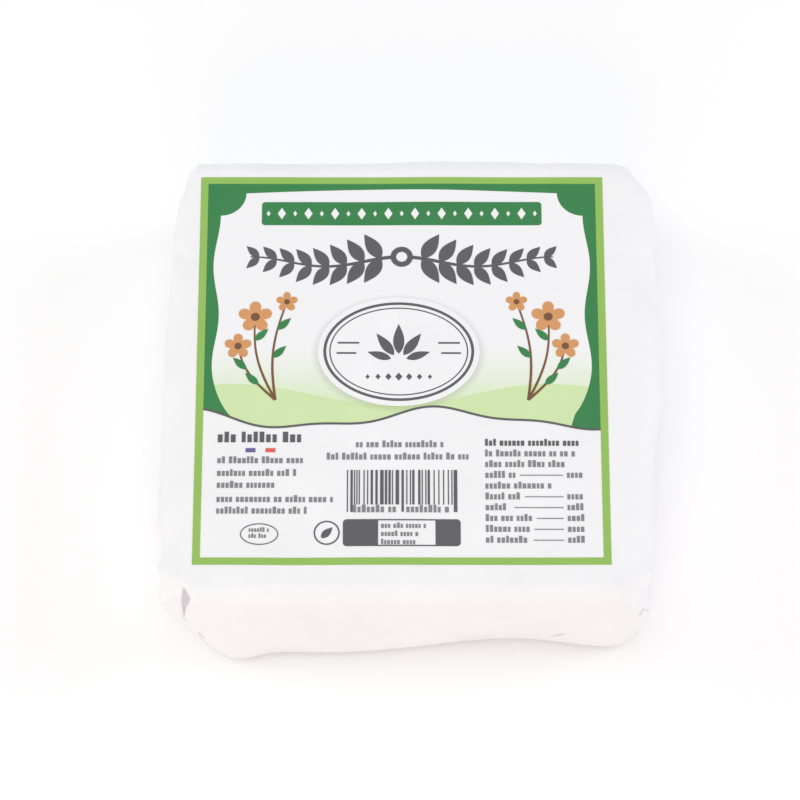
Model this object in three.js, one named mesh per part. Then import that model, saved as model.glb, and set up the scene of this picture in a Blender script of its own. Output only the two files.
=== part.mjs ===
// A square soft cheese shut in a folded paper wrapper, one solid.
// Millimetres, +Z up, front towards -Y, the label side on top, base centred on the origin.

import * as THREE from 'three';
import { mergeVertices } from 'three/addons/utils/BufferGeometryUtils.js';

// Size of the wrapped block before its hand-made unevenness
const WIDTH = 98.4;
const DEPTH = 99.2;
const HEIGHT = 28.3;
const HALF_WIDTH = WIDTH / 2;
const HALF_DEPTH = DEPTH / 2;

// Rounding of the edges: the two folded ends are softer than the smooth front and back
const END_EDGE_R = 6;
const FACE_EDGE_R = 3.8;
const BASE_EDGE_R = 3;

// Upright corners, seen from above
const CORNER_R = { backLeft: 3.6, backRight: 8.6, frontLeft: 6.5, frontRight: 7 };

// How far the whole block leans in plan, right at the back and left at the front
const SKEW = 1.1;

// Each end is closed by two side tucks, a flap from the base that narrows upwards and, over them all,
// a flap from the top that narrows downwards. Between the flaps the side tucks show as hollow triangles.
// The relief starts where the top edge has almost turned down and fades out towards the base.
const FLAP_INSET = 4;
const FLAP_SLOPE = 1.05;
const FLAP_EDGE = 1.2;
const TOP_FLAP_LIFT = 0.9;
const BASE_FLAP_LIFT = 0.5;
const TUCK_HOLLOW = 1.5;
const TUCK_REACH = 4.5;
const TUCK_OFFSET = 4.5;
const FOLD_FADE = 5;
const FOLD_MARGIN = 1;

// Uneven places of the wrapper: where, how far they reach, and how far they move it
const UNEVEN_PLACES = [
  { name: 'right end bulges', at: [50, 8, 15], reach: [14, 15, 14], move: [1.3, 0, 0] },
  { name: 'right end is flat towards the back', at: [50, 31, 16], reach: [12, 13, 14], move: [-0.9, 0, 0] },
  { name: 'right end is drawn in', at: [50, -26, 14], reach: [12, 17, 16], move: [-1.2, 0, 0] },
  { name: 'left end bulges', at: [-50, -12, 14], reach: [12, 18, 14], move: [-0.3, 0, 0] },
  { name: 'back left corner is cut', at: [-50, 42, 12], reach: [9, 10, 9], move: [1.3, 0.3, 0] },
  { name: 'top rolls off at the left', at: [-47, 30, 28], reach: [4, 9, 5], move: [0, 0, -0.8] },
  { name: 'front left ear stands out', at: [-50, -45.5, 20.5], reach: [8, 6, 8], move: [-2, 0, 0] },
  { name: 'notch beside the ear', at: [-51, -36.5, 20], reach: [6, 4.5, 10], move: [1.3, 0, 0] },
  { name: 'slit behind the ear', at: [-46.5, -48, 22], reach: [1.8, 4, 6], move: [0.4, 1.6, 0] },
  { name: 'front left corner tucks under', at: [-50, -49, 0], reach: [10, 9, 13], move: [5.1, 1.8, 0] },
  { name: 'front left foot', at: [-36.5, -50, 0], reach: [6.5, 8, 12], move: [0, -2.1, 0] },
  { name: 'front foot stands out', at: [-22, -50, 0], reach: [16, 8, 12], move: [0, -0.75, 0] },
  { name: 'front foot is drawn in', at: [20, -50, 0], reach: [16, 8, 12], move: [0, 2.5, 0] },
  { name: 'front right corner tucks under', at: [50, -49, 0], reach: [8, 8, 11], move: [-0.6, 1.5, 0] },
  { name: 'front right corner is full', at: [47, -47.5, 13], reach: [5, 5, 8], move: [0.9, -1.1, 0] },
  { name: 'back bulges', at: [14, 50, 18], reach: [24, 8, 14], move: [0, 1, 0] },
];

// Mesh: segments along X, Y and Z, and how much they crowd towards the edges
const SEGMENTS = { x: 28, y: 36, z: 12 };
const PLAN_CROWDING = 0.6;
const HEIGHT_CROWDING = 0.3;

const TINY = 1e-6;

const clamp = (value, low, high) => Math.min(Math.max(value, low), high);

// Rises softly from 0 to 1 between two values
function smoothStep(low, high, value) {
  const t = clamp((value - low) / (high - low), 0, 1);
  return t * t * (3 - 2 * t);
}

// Moves an even spacing from -1 to 1 towards both ends
function crowd(t, crowding) {
  return t * (1 - crowding) + crowding * Math.sin((Math.PI / 2) * t);
}

function cornerRadius(x, y) {
  if (y > 0) return x < 0 ? CORNER_R.backLeft : CORNER_R.backRight;
  return x < 0 ? CORNER_R.frontLeft : CORNER_R.frontRight;
}

// Rounds the upright corners: the moved point, the outward direction and the distance in from the outline
function roundPlan(x, y) {
  const radius = cornerRadius(x, y);
  const coreX = clamp(x, radius - HALF_WIDTH, HALF_WIDTH - radius);
  const coreY = clamp(y, radius - HALF_DEPTH, HALF_DEPTH - radius);
  const offX = x - coreX;
  const offY = y - coreY;
  if (Math.abs(offX) > TINY && Math.abs(offY) > TINY) {
    const length = Math.hypot(offX, offY);
    const ring = Math.max(Math.abs(offX), Math.abs(offY));
    const outX = offX / length;
    const outY = offY / length;
    return { x: coreX + outX * ring, y: coreY + outY * ring, outX, outY, inset: radius - ring };
  }
  const insetX = HALF_WIDTH - Math.abs(x);
  const insetY = HALF_DEPTH - Math.abs(y);
  const nearEnd = insetX < insetY;
  return {
    x,
    y,
    outX: nearEnd ? Math.sign(x) : 0,
    outY: nearEnd ? 0 : Math.sign(y),
    inset: Math.min(insetX, insetY),
  };
}

// Turns a point of the plain box into a point of the box with rounded corners and edges
function roundBox(point) {
  const plan = roundPlan(point.x, point.y);
  const upper = point.z > HEIGHT / 2;
  const topR = FACE_EDGE_R * plan.outY ** 2 + END_EDGE_R * plan.outX ** 2;
  const radius = upper ? topR : BASE_EDGE_R;
  const depth = upper ? HEIGHT - point.z : point.z;
  const onFlat = depth < TINY;
  const inset = onFlat ? plan.inset : 0;
  let newInset = inset;
  let newDepth = depth;
  if (inset < radius && depth < radius) {
    const sideways = radius - inset;
    const upwards = radius - depth;
    const length = Math.hypot(sideways, upwards);
    newInset = radius - (sideways / length) * radius;
    newDepth = radius - (upwards / length) * radius;
  }
  const shift = inset - newInset;
  const z = upper ? HEIGHT - newDepth : newDepth;
  return new THREE.Vector3(plan.x + plan.outX * shift, plan.y + plan.outY * shift, z);
}

// How far a point of an end lies outside the flap that starts a given distance above or below it
function beyondFlap(point, distance) {
  return Math.abs(point.y) - (HALF_DEPTH - FLAP_INSET - FLAP_SLOPE * distance);
}

// Relief of the folded ends: how far the wrapper stands out there
function endFold(point) {
  const onEnd = smoothStep(HALF_WIDTH - END_EDGE_R, HALF_WIDTH - FOLD_MARGIN, Math.abs(point.x));
  const beyondTop = beyondFlap(point, HEIGHT - point.z);
  const beyondBase = beyondFlap(point, point.z);
  const topFlap = TOP_FLAP_LIFT * (1 - smoothStep(-FLAP_EDGE, FLAP_EDGE, beyondTop));
  const baseFlap = BASE_FLAP_LIFT * (1 - smoothStep(-FLAP_EDGE, FLAP_EDGE, beyondBase));
  const intoTuck = (Math.min(beyondTop, beyondBase) - TUCK_OFFSET) / TUCK_REACH;
  const hollow = TUCK_HOLLOW * Math.exp(-(intoTuck ** 2));
  return onEnd * smoothStep(0, FOLD_FADE, point.z) * (Math.max(topFlap, baseFlap) - hollow);
}

// Adds the lean, the end folds and the uneven places
function wrap(point) {
  const folded = point.clone();
  folded.x += Math.sign(point.x) * endFold(point) + (SKEW * point.y) / HALF_DEPTH;
  const wrapped = folded.clone();
  for (const place of UNEVEN_PLACES) {
    const away = folded.clone().sub(new THREE.Vector3(...place.at)).divide(new THREE.Vector3(...place.reach));
    wrapped.addScaledVector(new THREE.Vector3(...place.move), Math.exp(-away.lengthSq()));
  }
  return wrapped;
}

// Maps a point on the surface of a cube that runs from -1 to 1 onto the wrapper
function onWrapper(unit) {
  const plain = new THREE.Vector3(
    crowd(unit.x, PLAN_CROWDING) * HALF_WIDTH,
    crowd(unit.y, PLAN_CROWDING) * HALF_DEPTH,
    ((crowd(unit.z, HEIGHT_CROWDING) + 1) / 2) * HEIGHT,
  );
  return wrap(roundBox(plain));
}

const midpoint = (a, b) => a.clone().add(b).multiplyScalar(0.5);

// Splits each square of the mesh along the diagonal that lies closer to the wrapper.
// A square holds six indices in a row: corners a b d, then b c d.
function splitSquares(index, units, points) {
  const corners = [];
  for (let i = 0; i < index.length; i += 6) {
    const [a, b, d, , c] = index.slice(i, i + 6);
    const middle = onWrapper(midpoint(units[a], units[c]));
    const gapAC = midpoint(points[a], points[c]).distanceTo(middle);
    const gapBD = midpoint(points[b], points[d]).distanceTo(middle);
    if (gapAC < gapBD) corners.push(a, b, c, a, c, d);
    else corners.push(a, b, d, b, c, d);
  }
  return corners;
}

function wrappedBlockGeometry() {
  const cube = new THREE.BoxGeometry(2, 2, 2, SEGMENTS.x, SEGMENTS.y, SEGMENTS.z);
  cube.deleteAttribute('normal');
  cube.deleteAttribute('uv');
  const merged = mergeVertices(cube, TINY);
  const position = merged.getAttribute('position');
  const vertices = [...Array(position.count).keys()];
  const units = vertices.map((i) => new THREE.Vector3().fromBufferAttribute(position, i));
  const points = units.map(onWrapper);
  const geometry = new THREE.BufferGeometry().setFromPoints(points);
  geometry.setIndex(splitSquares(Array.from(merged.index.array), units, points));
  geometry.computeBoundingBox();
  const middle = geometry.boundingBox.getCenter(new THREE.Vector3());
  geometry.translate(-middle.x, -middle.y, -geometry.boundingBox.min.z);
  geometry.computeVertexNormals();
  return geometry;
}

const paper = new THREE.MeshStandardMaterial({ name: 'wrapper_paper', color: 0xf3f3f2, roughness: 0.55 });
const block = new THREE.Mesh(wrappedBlockGeometry(), paper);
block.name = 'wrapped_block';

const part = new THREE.Group();
part.name = 'wrapped_goat_cheese';
part.add(block);

export default part;
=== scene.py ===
"""A square soft goat cheese shut in a folded white paper wrapper with a green-framed printed label.

Metres, +Z up, front towards -Y. The wrapper repeats the solid's shape with finer folds and creases,
thin paper flaps close the two ends and the underside, and the label is laid on the top as thin ink fields.
"""
import random
from math import ceil, cos, exp, hypot, pi, radians, sin

import bmesh
import bpy
import numpy as np
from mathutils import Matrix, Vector
from mathutils.bvhtree import BVHTree
from mathutils.geometry import delaunay_2d_cdt


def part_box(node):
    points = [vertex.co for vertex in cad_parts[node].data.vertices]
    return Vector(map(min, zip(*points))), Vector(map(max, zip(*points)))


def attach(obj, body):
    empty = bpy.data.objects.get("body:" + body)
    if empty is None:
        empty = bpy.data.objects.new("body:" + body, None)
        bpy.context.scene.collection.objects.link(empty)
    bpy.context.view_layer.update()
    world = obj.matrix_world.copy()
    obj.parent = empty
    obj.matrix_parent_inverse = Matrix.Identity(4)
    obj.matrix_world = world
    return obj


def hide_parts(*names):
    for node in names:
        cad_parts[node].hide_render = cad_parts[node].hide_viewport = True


MM = 0.001
TINY = 1e-9
NODE = "wrapped_block"
BODY = "root"


def mm(*values):
    """Millimetres as an array of metres."""
    return np.array(values, dtype=float) * MM


# Size of the wrapped block before its unevenness, the same values as the solid
WIDTH, DEPTH, HEIGHT = mm(98.4, 99.2, 28.3)
HALF_WIDTH, HALF_DEPTH = WIDTH / 2, DEPTH / 2
END_EDGE_R, FACE_EDGE_R, BASE_EDGE_R = mm(6, 3.8, 3)
BACK_LEFT_R, BACK_RIGHT_R, FRONT_LEFT_R, FRONT_RIGHT_R = mm(3.6, 8.6, 6.5, 7)
SKEW = 1.1 * MM

# Folded ends: side tucks, a flap from the base over them, and a flap from the top over all of these
FLAP_INSET = 4 * MM
FLAP_SLOPE = 1.05
FLAP_EDGE = 1.2 * MM
TOP_FLAP_LIFT, BASE_FLAP_LIFT = mm(0.9, 0.5)
TUCK_HOLLOW, TUCK_REACH, TUCK_OFFSET = mm(1.5, 4.5, 4.5)
FOLD_FADE = 5 * MM
FOLD_MARGIN = 1 * MM

# Uneven places of the wrapper: where, how far they reach, how far they move it
UNEVEN_PLACES = {
    "right end bulges": (mm(50, 8, 15), mm(14, 15, 14), mm(1.3, 0, 0)),
    "right end is flat towards the back": (mm(50, 31, 16), mm(12, 13, 14), mm(-0.9, 0, 0)),
    "right end is drawn in": (mm(50, -26, 14), mm(12, 17, 16), mm(-1.2, 0, 0)),
    "left end bulges": (mm(-50, -12, 14), mm(12, 18, 14), mm(-0.3, 0, 0)),
    "back left corner is cut": (mm(-50, 42, 12), mm(9, 10, 9), mm(1.3, 0.3, 0)),
    "top rolls off at the left": (mm(-47, 30, 28), mm(4, 9, 5), mm(0, 0, -0.8)),
    "front left ear stands out": (mm(-50, -45.5, 20.5), mm(8, 6, 8), mm(-2, 0, 0)),
    "notch beside the ear": (mm(-51, -36.5, 20), mm(6, 4.5, 10), mm(1.3, 0, 0)),
    "slit behind the ear": (mm(-46.5, -48, 22), mm(1.8, 4, 6), mm(0.4, 1.6, 0)),
    "front left corner tucks under": (mm(-50, -49, 0), mm(10, 9, 13), mm(5.1, 1.8, 0)),
    "front left foot": (mm(-36.5, -50, 0), mm(6.5, 8, 12), mm(0, -2.1, 0)),
    "front foot stands out": (mm(-22, -50, 0), mm(16, 8, 12), mm(0, -0.75, 0)),
    "front foot is drawn in": (mm(20, -50, 0), mm(16, 8, 12), mm(0, 2.5, 0)),
    "front right corner tucks under": (mm(50, -49, 0), mm(8, 8, 11), mm(-0.6, 1.5, 0)),
    "front right corner is full": (mm(47, -47.5, 13), mm(5, 5, 8), mm(0.9, -1.1, 0)),
    "back bulges": (mm(14, 50, 18), mm(24, 8, 14), mm(0, 1, 0)),
}

# Small places that only the paper shows
PAPER_PLACES = {
    "open pocket behind the ear": (mm(-45.2, -48.2, 24), mm(1.4, 3.5, 5), mm(0.2, 1.5, 0)),
    "right end is flat behind the middle": (mm(50.5, 6, 20), mm(5, 5, 8), mm(-0.6, 0, 0)),
    "right end is flat before the middle": (mm(50.5, -12, 20), mm(5, 6, 8), mm(-0.5, 0, 0)),
    "right flap lies close at its corner": (mm(50, -39.5, 23), mm(4, 4, 5), mm(-0.7, 0, 0)),
    "corner is full beside the right flap": (mm(47.5, -43, 24), mm(4, 2, 4), mm(0.9, 0, 0)),
    "front right corner lies close": (mm(49, -47, 9), mm(6, 6, 9), mm(-0.4, 0.5, 0)),
    "dent at the front right": (mm(47.8, -46, 22), mm(2.2, 2.2, 3.2), mm(-0.5, 0.5, 0)),
    "notch at the front right": (mm(48.4, -43.8, 16), mm(4, 2, 2.5), mm(-1, 0, 0)),
}

# Sharp creases: start, end, half width and depth. They lie on the paper where it comes near this line.
CREASES = {
    "front left, below the pocket": (mm(-46, -48, 18), mm(-45, -49, 15.5), mm(0.4, 0.25)),
    "front left, low": (mm(-43.2, -49, 12), mm(-42, -49.5, 7.5), mm(0.45, 0.3)),
    "front right, high": (mm(45.6, -44, 27.4), mm(44.8, -47.4, 26.4), mm(0.5, 0.25)),
    "front right, middle": (mm(46.1, -47.8, 22), mm(45, -49.6, 19.2), mm(0.4, 0.3)),
    "front right, side": (mm(45.6, -48, 21.6), mm(48, -47.8, 18.4), mm(0.4, 0.25)),
    "front foot": (mm(26, -48.6, 5.5), mm(32.5, -49.2, 9.8), mm(0.45, 0.3)),
    "back right, high": (mm(43.5, 46.5, 27.5), mm(47.5, 44, 22), mm(0.8, 0.6)),
    "left edge": (mm(-49.5, 30, 25), mm(-46, 26, 28), mm(1, 0.35)),
}
CREASE_NEAR, CREASE_FAR = mm(2.5, 4)
RIDGE_AWAY, RIDGE_WIDTH, RIDGE_SHARE = 2.2, 1.2, 0.2

# Short sharp creases scattered over each side: how many, how far they reach, how steep they are
CRUMPLE_SEED = 11
END_CRUMPLES = (26, (4 * MM, 9 * MM), (0.04, 0.1))
FACE_CRUMPLES = (9, (6 * MM, 13 * MM), (0.012, 0.035))

# Slow waves of the paper, and how freely they run on the top, the front and back, and the ends
WAVE_SEED = 5
WAVE_COUNT = 9
WAVE_LENGTHS = (14 * MM, 34 * MM)
WAVE_HEIGHT = 0.05 * MM
TOP_WAVES, FACE_WAVES, END_WAVES = 0.4, 0.9, 0.9

# Paper flaps, each a thin sheet of its own. A flap of an end has the heights of its root and its free edge,
# the height that its slanting sides start from, and its lift.
PAPER_THICKNESS = 0.14 * MM
UNDERSIDE_LIFT = 0.2 * MM
END_FLAPS = {
    "base_flap": (mm(1.2, 17.5), 0.0, BASE_FLAP_LIFT),
    "top_flap": (mm(24.6, 3.4), HEIGHT, TOP_FLAP_LIFT),
}
FLAP_STAND_OFF, FLAP_OVERHANG, FLAP_EMERGE, FLAP_SUNK = mm(0.06, 0.5, 6, 0.2)
FLAP_HUG_FROM, FLAP_HUG, FLAP_ROOT = 0.9, 0.75, 9 * MM
FLAP_ROWS, FLAP_COLUMNS = 44, 110
LAP_STAND_OFF, LAP_EDGE_Y, LAP_START, LAP_SIDE = mm(0.12, 5, 8, 4)
LAP_ROWS, LAP_COLUMNS = 40, 60

# Sheet of painted shade in the pocket's opening on the unfolded front: its straight left side, its width,
# its lower and upper end, how far up it is widest, how wide its blunt tip still is, how far the tip leans
# right, and the share of its width that is left at its lower point
POCKET_X, POCKET_WIDTH, POCKET_LOW, POCKET_HIGH = mm(-44.35, 1.9, 17.6, 29.8)
POCKET_WIDEST, POCKET_TIP = 0.82, 0.3
POCKET_LEAN, POCKET_STAND_OFF = mm(0.3, 0.13)
POCKET_CURVE, POINT_SHARE = 0.8, 0.02
POCKET_ROWS, POCKET_COLUMNS = 28, 9

# Painted shade in the sharpest creases: start and end on the unfolded front, and width
CREASE_SHADES = {
    "front left, below the pocket": (mm(-45.1, 17.6), mm(-44.5, 15.2), 0.5 * MM),
    "front left, low": (mm(-43.9, 10.4), mm(-43.6, 6.8), 0.8 * MM),
    "front right, middle": (mm(49.3, 21.1), mm(46.3, 19.2), 0.55 * MM),
    "front right, side": (mm(48.9, 21.2), mm(51.8, 16.8), 0.5 * MM),
    "front foot": (mm(29, 5.4), mm(32, 8.4), 0.5 * MM),
}
SHADE_STAND_OFF = 0.06 * MM
SHADE_ROWS, SHADE_COLUMNS = 17, 5

# Mesh of the wrapper
SEGMENTS_X, SEGMENTS_Y, SEGMENTS_Z = 136, 136, 80
PLAN_CROWDING = 0.62
HEIGHT_CROWDING = 0.3
SHARP_ANGLE = radians(50)

# Label: centre on the top in metres, its print in millimetres. A rectangle is its left, lower, right and
# upper edge, an ellipse its centre and half its width and height, a wave its height, length and shift.
LABEL_X, LABEL_Y = mm(-2.35, 2.15)
LABEL_HALF_W, LABEL_HALF_H = 41.5, 43.4
BORDER = 1.55
FRAME_SIDE, FRAME_TOP, FRAME_WAVE, FRAME_FLARE, FRAME_ARCH = 2.7, 2.2, 1.3, 3.2, 0.9
NOTCH_R = 5.2

# Landscape
HILL_Y, HILL_WAVE, HILL_RIPPLE = -11.5, (2.0, 55, 6), (0.7, 23, 0)
REAR_HILL_RISE, REAR_HILL_WAVE = 5.2, (2.4, 64, -14)
FADE_TOP_Y = 6.0
LINE = 0.45

# Garland: its line, its stem's thickness at both ends, and its leaves, which shrink and lean outwards
GARLAND_Y, GARLAND_START, GARLAND_HALF, GARLAND_WAVE, GARLAND_RING = 23.8, 1.9, 31.0, 1.1, 2.3
GARLAND_STEM = (0.8, 0.3)
GARLAND_PAIRS, GARLAND_FROM, GARLAND_REACH = 8, 4.2, 25.0
GARLAND_LEAF, GARLAND_SHRINK, GARLAND_LEAN = (6.6, 3.0), 0.45, (58, 14)

# Banner, and its large and small lozenges by half their width and height
BANNER, BANNER_R = (-28.8, 32.2, 28.8, 37.6), 0.7
LOZENGES, LARGE_LOZENGE, SMALL_LOZENGE = 21, (0.85, 1.35), (0.4, 0.65)

# Badge: its shadow, its rims by inset and thickness, its fan's leaves by turn and size, its rules by height,
# start and end, and its row of lozenges, by half their width and height and how these shrink outwards
BADGE, BADGE_DROP, BADGE_BLUR = (-0.6, 3.4, 16.4, 12.2), 0.4, 1.9
BADGE_RIMS = ((1.1, 0.6), (2.3, 0.28))
FAN = ((0, 1.0), (36, 0.9), (-36, 0.9), (72, 0.75), (-72, 0.75))
FAN_DROP, FAN_GAP, FAN_LEAF = 2.2, 1.6, (6.8, 2.3)
BADGE_RULES, RULE_HALF = ((1.9, 8.0, 12.4), (-0.4, 8.6, 12.6)), 0.2
BADGE_ROW_DROP, BADGE_ROW_PITCH, BADGE_ROW_SIDE = 5.7, 2.1, 3
BADGE_LOZENGE = ((0.75, 0.1), (0.9, 0.12))

# Sprigs: each stem has its tip, the size of its flower, and leaves at places along it, outwards or inwards
SPRIG_ROOT = (25.5, -7.5)
SPRIG_STEMS = (
    (29.8, 11.2, 1.25, ((10, -1),)),
    (33.2, 4.6, 1.0, ((4, 1), (8, 1))),
    (23.4, 14.6, 0.8, ((6, -1), (10, -1))),
)
SPRIG_STEM, STEM_BEND, STEM_STEPS = (0.55, 0.35), 1.6, 15
SPRIG_LEAF, SPRIG_LEAF_LEAN = (3.8, 1.5), 0.8
PETAL_REACH, PETAL_NOTCH, PETAL_ROUND, FLOWER_CENTRE_R = 2.8, 0.4, 0.6, 0.75

# Greeked text: rows by left end, place up the label, width and, where it isn't the usual one, height of the
# text, and how the blocks in a row follow
TEXT_SEED = 3
TEXT_LEFT, TEXT_HEIGHT = -36.9, 1.1
HEADING = (TEXT_LEFT, -16.8, 17.8, 1.7)
TEXT_ROWS = (
    (TEXT_LEFT, -21.4, 17.8), (TEXT_LEFT, -24.2, 16.6), (TEXT_LEFT, -26.8, 11.5),
    (TEXT_LEFT, -29.9, 23.2), (TEXT_LEFT, -32.4, 18.4), (-9.2, -17.9, 17.7), (-15.0, -20.6, 29.3),
)
COLOUR_BARS = {"blue": (-31.3, -19.0, -29.3, -18.1), "red": (-27.3, -19.0, -25.3, -18.1)}
WORD_BLOCKS, BLOCK_WIDTHS, BLOCK_HEIGHTS = (2, 8), (0.45, 0.65), (1, 1, 1, 1.35)
BLOCK_GAP, WORD_GAP = 0.22, 0.5

# Table: its full rows, which get shorter, and its rows with a label, a leader and a value
TABLE_LEFT, TABLE_RIGHT, TABLE_TOP, TABLE_PITCH, TABLE_ROWS = 16.7, 36.4, -17.6, 2.34, 10
FULL_ROWS, FULL_ROW_WIDTH, FULL_ROW_LESS = (0, 1, 2, 4), 19.5, 1.5
TABLE_LABELS, TABLE_VALUE, TABLE_GAP, LEADER = (4.5, 10), 3.4, 0.8, (0.45, 0.65)

# Barcode: widths in modules, and where its guard bars and the two halves of its row stand
BARCODE, BARCODE_MODULES, BARCODE_SEED = (-10.95, -30.4, 11.55, -22.9), 95, 8
BAR_WIDTHS, GUARDS, GUARD_DROP = (1, 1, 2, 2, 3), ((0, 4), (44, 49), (90, 95)), 1.6
CODE_ROW_STARTS, CODE_ROW_LENGTH, CODE_ROW_DROP, CODE_ROW_HEIGHT = (5, 50), 37, 1.7, 1.2

# Small marks: a blank oval, a ring with a leaf, and a dark box with a light cell
OVAL, OVAL_RIM = (-28.3, -36.8, 3.8, 2.3), 0.2
RING, RING_RIM, RING_LEAF = (-14.9, -36.5, 2.6, 2.6), 0.3, (-16.0, -37.6, 3.2, 1.5, radians(45))
BOX, BOX_R, CELL = (-11.7, -39.4, 11.7, -33.6), 0.8, (-4.7, -39.15, 6.7, -33.85)
OVAL_ROWS = ((-30.4, -36.3, 4.2, 0.7), (-30.4, -37.6, 4.2, 0.7))
CELL_ROWS = ((-4.1, -35.5, 9, 0.85), (-4.1, -37.25, 8, 0.85), (-4.1, -39.0, 7, 0.85))

# How the ink lies on the paper, and its layers upwards, so that no fields that overlap lie level
INK_LIFT, INK_STEP, INK_SINK = mm(0.02, 0.012, 0.08)
FIELD_SPACING, EDGE_SPACING = 1.3, 0.6
FADE_LAYER, HILL_LAYER, FRAME_LAYER, PRINT_LAYER, OVER_LAYER = 1, 2, 3, 4, 5
WHITE_LAYER, MARK_LAYER, PETAL_LAYER, CENTRE_LAYER = 6, 7, 8, 9

# Colours, as sRGB
PAPER = (241, 241, 242)
# Painted shade for the sheet in the pocket's opening
POCKET_SHADE = (204, 199, 206)
# Painted shade for the slivers in the sharpest creases
CREASE_SHADE = (224, 222, 225)
FADE_INK = (213, 232, 188)
HILL_INK = (206, 228, 173)
INKS = {
    "lime": (147, 189, 92),
    "green": (54, 130, 73),
    "dark": (92, 92, 94),
    "text": (132, 132, 134),
    "white": PAPER,
    "orange": (212, 152, 97),
    "brown": (120, 82, 56),
    "blue": (104, 98, 150),
    "red": (226, 98, 84),
}
SHADOW_SHARE = 0.8

# Surface of the paper: sheen, cloudy mottling and fibres
PAPER_ROUGHNESS, INK_ROUGHNESS, POCKET_ROUGHNESS, FLOOR_ROUGHNESS = 0.5, 0.5, 0.85, 0.9
ROUGHNESS_SPREAD, SPECULAR = 0.06, 0.35
CLOUD = {"Scale": 70.0, "Detail": 5.0, "Roughness": 0.6}
CLOUD_DARK, CLOUD_LIGHT, MOTTLE = 0.3, 0.7, 2.5
FIBRE = {"Scale": 1600.0, "Detail": 3.0, "Roughness": 0.7}
FIBRE_BUMP = {"Strength": 0.12, "Distance": 0.05 * MM}

# Camera, fitted to the label's corners and the pack's outline
CAMERA_ELEVATION = radians(65)
CAMERA_DISTANCE = 0.790
CAMERA_LOOK = mm(-2.7, -5.3, 28.3)
CAMERA_LENS = 176.4
SENSOR = 36.0

# White studio: floor, even light all round, and soft lights with place, size, power and colour
FLOOR_HALF = 3.0
FLOOR = (254, 254, 254)
WORLD_STRENGTH = 0.66
AIM = (0, 0, 0.015)
LIGHTS = {
    "key": ((-0.1, -0.03, 1.0), 0.8, 1.7, (0.95, 0.98, 1.0)),
    "front": ((-0.05, -0.8, 0.35), 0.6, 1.7, (1.0, 0.8, 0.72)),
    "right": ((0.77, 0.15, 0.4), 0.6, 1.65, (0.92, 0.915, 1.0)),
    "left": ((-0.77, 0.15, 0.4), 0.6, 1.4, (0.985, 0.988, 1.0)),
}


# Shape of the wrapper

def smooth_step(low, high, value):
    """Rises softly from 0 to 1 between two values."""
    t = np.clip((value - low) / (high - low), 0.0, 1.0)
    return t * t * (3 - 2 * t)


def crowd(t, crowding):
    """Moves an even spacing from -1 to 1 towards both ends."""
    return t * (1 - crowding) + crowding * np.sin(pi / 2 * t)


def corner_radius(x, y):
    back = np.where(x < 0, BACK_LEFT_R, BACK_RIGHT_R)
    front = np.where(x < 0, FRONT_LEFT_R, FRONT_RIGHT_R)
    return np.where(y > 0, back, front)


def round_plan(x, y):
    """Rounds the upright corners: moved point, outward direction, distance in from the outline."""
    radius = corner_radius(x, y)
    core_x = np.clip(x, radius - HALF_WIDTH, HALF_WIDTH - radius)
    core_y = np.clip(y, radius - HALF_DEPTH, HALF_DEPTH - radius)
    off_x, off_y = x - core_x, y - core_y
    in_corner = (np.abs(off_x) > TINY) & (np.abs(off_y) > TINY)
    length = np.where(in_corner, np.hypot(off_x, off_y), 1.0)
    ring = np.maximum(np.abs(off_x), np.abs(off_y))
    inset_x, inset_y = HALF_WIDTH - np.abs(x), HALF_DEPTH - np.abs(y)
    near_end = inset_x < inset_y
    out_x = np.where(in_corner, off_x / length, np.where(near_end, np.sign(x), 0.0))
    out_y = np.where(in_corner, off_y / length, np.where(near_end, 0.0, np.sign(y)))
    inset = np.where(in_corner, radius - ring, np.minimum(inset_x, inset_y))
    new_x = np.where(in_corner, core_x + out_x * ring, x)
    new_y = np.where(in_corner, core_y + out_y * ring, y)
    return new_x, new_y, out_x, out_y, inset


def round_box(points):
    """Points of the plain box become points of the rounded box, with their outward directions."""
    x, y, z = points.T
    new_x, new_y, out_x, out_y, plan_inset = round_plan(x, y)
    upper = z > HEIGHT / 2
    radius = np.where(upper, FACE_EDGE_R * out_y ** 2 + END_EDGE_R * out_x ** 2, BASE_EDGE_R)
    depth = np.where(upper, HEIGHT - z, z)
    on_flat = depth < TINY
    inset = np.where(on_flat, plan_inset, 0.0)
    in_edge = (inset < radius) & (depth < radius)
    sideways = np.where(in_edge, radius - inset, np.where(on_flat, 0.0, 1.0))
    upwards = np.where(in_edge, radius - depth, np.where(on_flat, 1.0, 0.0))
    length = np.hypot(sideways, upwards)
    sideways, upwards = sideways / length, upwards / length
    new_inset = np.where(in_edge, radius * (1 - sideways), inset)
    new_depth = np.where(in_edge, radius * (1 - upwards), depth)
    shift = inset - new_inset
    new_z = np.where(upper, HEIGHT - new_depth, new_depth)
    moved = np.stack([new_x + out_x * shift, new_y + out_y * shift, new_z], axis=1)
    outward = np.stack([out_x * sideways, out_y * sideways, np.where(upper, upwards, -upwards)], axis=1)
    return moved, outward


def fold_weight(points):
    """Where the relief of the folded ends shows: not on the top, and less towards the base."""
    on_end = smooth_step(HALF_WIDTH - END_EDGE_R, HALF_WIDTH - FOLD_MARGIN, np.abs(points[:, 0]))
    return on_end * smooth_step(0.0, FOLD_FADE, points[:, 2])


def flap_half(distance):
    """Half the width of a flap at a distance from the edge that it starts from."""
    return HALF_DEPTH - FLAP_INSET - FLAP_SLOPE * distance


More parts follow.
